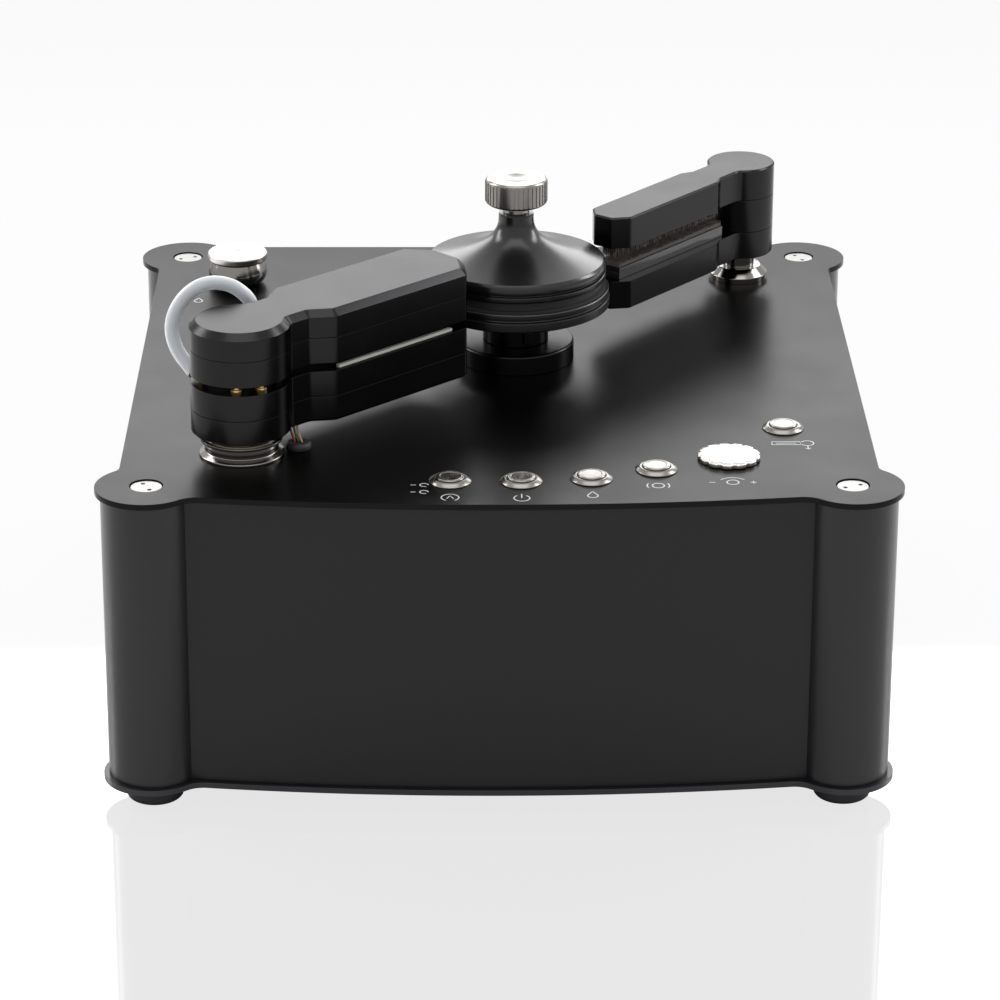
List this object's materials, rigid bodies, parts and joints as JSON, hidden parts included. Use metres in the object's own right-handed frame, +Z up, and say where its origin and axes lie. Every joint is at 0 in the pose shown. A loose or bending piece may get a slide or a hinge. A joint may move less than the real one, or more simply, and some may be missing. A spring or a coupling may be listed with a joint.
{
  "type": "record cleaning machine",
  "caption": "Square tabletop machine that washes and vacuums records, with a label-sized platter, a bell-shaped clamp, a suction arm and a brush arm.",
  "frame": {"origin": "middle of the bounding box on the floor, under the feet", "axes": "+X to the right, +Y to the rear, +Z up, seen from the controls"},
  "size_m": [0.39, 0.39, 0.2624],
  "materials": {
    "deck": "satin black anodised",
    "wall": "satin dark grey anodised",
    "arm": "satin black anodised",
    "bright": "polished stainless steel",
    "rubber": "matte",
    "brass": "turned",
    "steel": "turned",
    "motor": "zinc plated cans",
    "plastic": "moulded",
    "board": "lacquered",
    "tank": "translucent moulded",
    "hose": "clear tube",
    "lip": "napped",
    "pad": "dense pile",
    "bristle": "nylon bristles",
    "mat": "matte"
  },
  "bodies": {
    "chassis": {"deck_plate": "deck", "base_plate": "deck", "front_panel": "wall", "side_panels": "wall", "rear_panel": "wall", "corner_posts": "wall", "post_caps": "bright", "feet": "rubber", "button_bezels": "bright", "button_switches": "plastic", "potentiometer": "steel", "control_board": "board", "bearing_housing": "arm", "bearing_bushes": "brass", "platter_motor": "motor", "drive_belt": "rubber", "vac_pivot": "bright", "brush_pivot": "bright", "deck_grommet": "rubber", "arm_wires": "plastic", "filler_neck": "bright", "liquid_tank": "tank", "waste_tank": "tank", "liquid_pump": "plastic", "turbine_housing": "plastic", "mains_inlet": "plastic", "power_supply": "motor", "drain_spout": "bright", "inner_hoses": "hose"},
    "platter": {"spindle": "steel", "spindle_pulley": "arm", "platter_hub": "arm", "platter": "arm", "platter_mat": "mat"},
    "motor_pulley": {"motor_pulley": "steel"},
    "clamp": {"clamp_body": "arm", "clamp_seal": "rubber", "clamp_collar": "bright"},
    "clamp_knob": {"knob_neck": "arm", "clamp_knob": "bright"},
    "speed_knob": {"speed_knob": "bright"},
    "auto_button": {"auto_button": "bright"},
    "power_button": {"power_button": "bright"},
    "liquid_button": {"liquid_button": "bright"},
    "platter_button": {"platter_button": "bright"},
    "vacuum_button": {"vacuum_button": "bright"},
    "filler_cap": {"filler_cap": "bright"},
    "turbine_impeller": {"turbine_impeller": "plastic"},
    "vac_arm": {"vac_arm_base": "arm", "vac_arm_lower": "arm", "vac_guide_pins": "brass", "vac_lips": "lip", "suction_hose": "hose"},
    "vac_upper": {"vac_arm_upper": "arm", "vac_arm_cover": "arm"},
    "brush_arm": {"brush_arm_lower": "arm", "brush_arm_spacer": "arm", "brush_arm_cover": "arm", "upper_brush": "bristle", "lower_brush": "pad"}
  },
  "joints": [
    {"name": "platter_spin", "type": "hinge", "parent": "chassis", "child": "platter", "pos_m": [0.01, 0.01, 0.165], "axis": [0, 0, 1], "continuous": true},
    {"name": "motor_spin", "type": "hinge", "parent": "chassis", "child": "motor_pulley", "pos_m": [0.084, 0.01, 0.165], "axis": [0, 0, 1], "continuous": true},
    {"name": "clamp_lift", "type": "slide", "parent": "platter", "child": "clamp", "axis": [0, 0, 1], "range_m": [0, 0.06]},
    {"name": "clamp_turn", "type": "hinge", "parent": "clamp", "child": "clamp_knob", "pos_m": [0.01, 0.01, 0.165], "axis": [0, 0, 1], "range_deg": [0, 180]},
    {"name": "speed_turn", "type": "hinge", "parent": "chassis", "child": "speed_knob", "pos_m": [0.11235, -0.13563, 0.165], "axis": [0, 0, 1], "range_deg": [-140, 140]},
    {"name": "auto_press", "type": "slide", "parent": "chassis", "child": "auto_button", "axis": [0, 0, -1], "range_m": [0, 0.0015], "stiffness_N_per_m": 800, "springref_m": -0.001},
    {"name": "power_press", "type": "slide", "parent": "chassis", "child": "power_button", "axis": [0, 0, -1], "range_m": [0, 0.0015], "stiffness_N_per_m": 800, "springref_m": -0.001},
    {"name": "liquid_press", "type": "slide", "parent": "chassis", "child": "liquid_button", "axis": [0, 0, -1], "range_m": [0, 0.0015], "stiffness_N_per_m": 800, "springref_m": -0.001},
    {"name": "platter_press", "type": "slide", "parent": "chassis", "child": "platter_button", "axis": [0, 0, -1], "range_m": [0, 0.0015], "stiffness_N_per_m": 800, "springref_m": -0.001},
    {"name": "vacuum_press", "type": "slide", "parent": "chassis", "child": "vacuum_button", "axis": [0, 0, -1], "range_m": [0, 0.0015], "stiffness_N_per_m": 800, "springref_m": -0.001},
    {"name": "cap_lift", "type": "slide", "parent": "chassis", "child": "filler_cap", "axis": [0, 0, 1], "range_m": [0, 0.03]},
    {"name": "turbine_spin", "type": "hinge", "parent": "chassis", "child": "turbine_impeller", "pos_m": [-0.024, 0.112, 0.014], "axis": [0, 0, 1], "continuous": true},
    {"name": "vac_swing", "type": "hinge", "parent": "chassis", "child": "vac_arm", "pos_m": [-0.126, -0.127, 0.165], "axis": [0, 0, 1], "range_deg": [0, 76]},
    {"name": "vac_float", "type": "slide", "parent": "vac_arm", "child": "vac_upper", "axis": [0, 0, 1], "range_m": [0, 0.004], "deforming": ["suction_hose"]},
    {"name": "brush_swing", "type": "hinge", "parent": "chassis", "child": "brush_arm", "pos_m": [0.134, 0.137, 0.165], "axis": [0, 0, 1], "range_deg": [0, 72]}
  ],
  "couplings": [
    {"joint": "motor_spin", "follows": "platter_spin", "ratio": 5}
  ]
}
